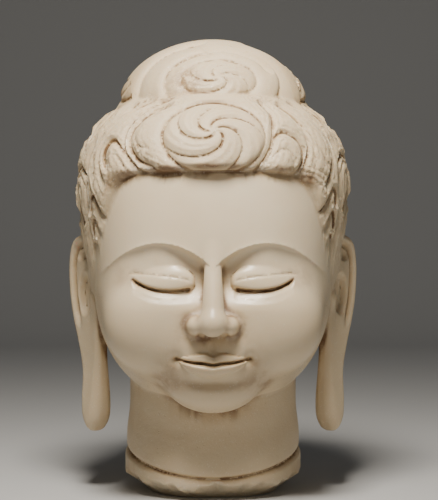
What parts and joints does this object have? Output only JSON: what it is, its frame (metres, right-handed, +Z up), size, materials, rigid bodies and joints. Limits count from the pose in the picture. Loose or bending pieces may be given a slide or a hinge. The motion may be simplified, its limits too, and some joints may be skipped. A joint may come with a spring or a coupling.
{
  "type": "buddha head",
  "caption": "Carved stone head of a Buddha with a cranial bump, hair in whorls and curved locks, and long pendent ear lobes, broken off at the neck to stand on the break.",
  "frame": {"origin": "middle of the head's box, at the level of the flat bed in the break that it stands on", "axes": "+Z up along the height, -Y the way the face looks, +X towards the head's own left ear"},
  "size_m": [0.2728, 0.2801, 0.42],
  "materials": {
    "marble": "ivory white marble, rubbed smooth on the face, a brown patina in the cuts"
  },
  "bodies": {
    "root": {"buddha_head": "marble"}
  },
  "joints": []
}
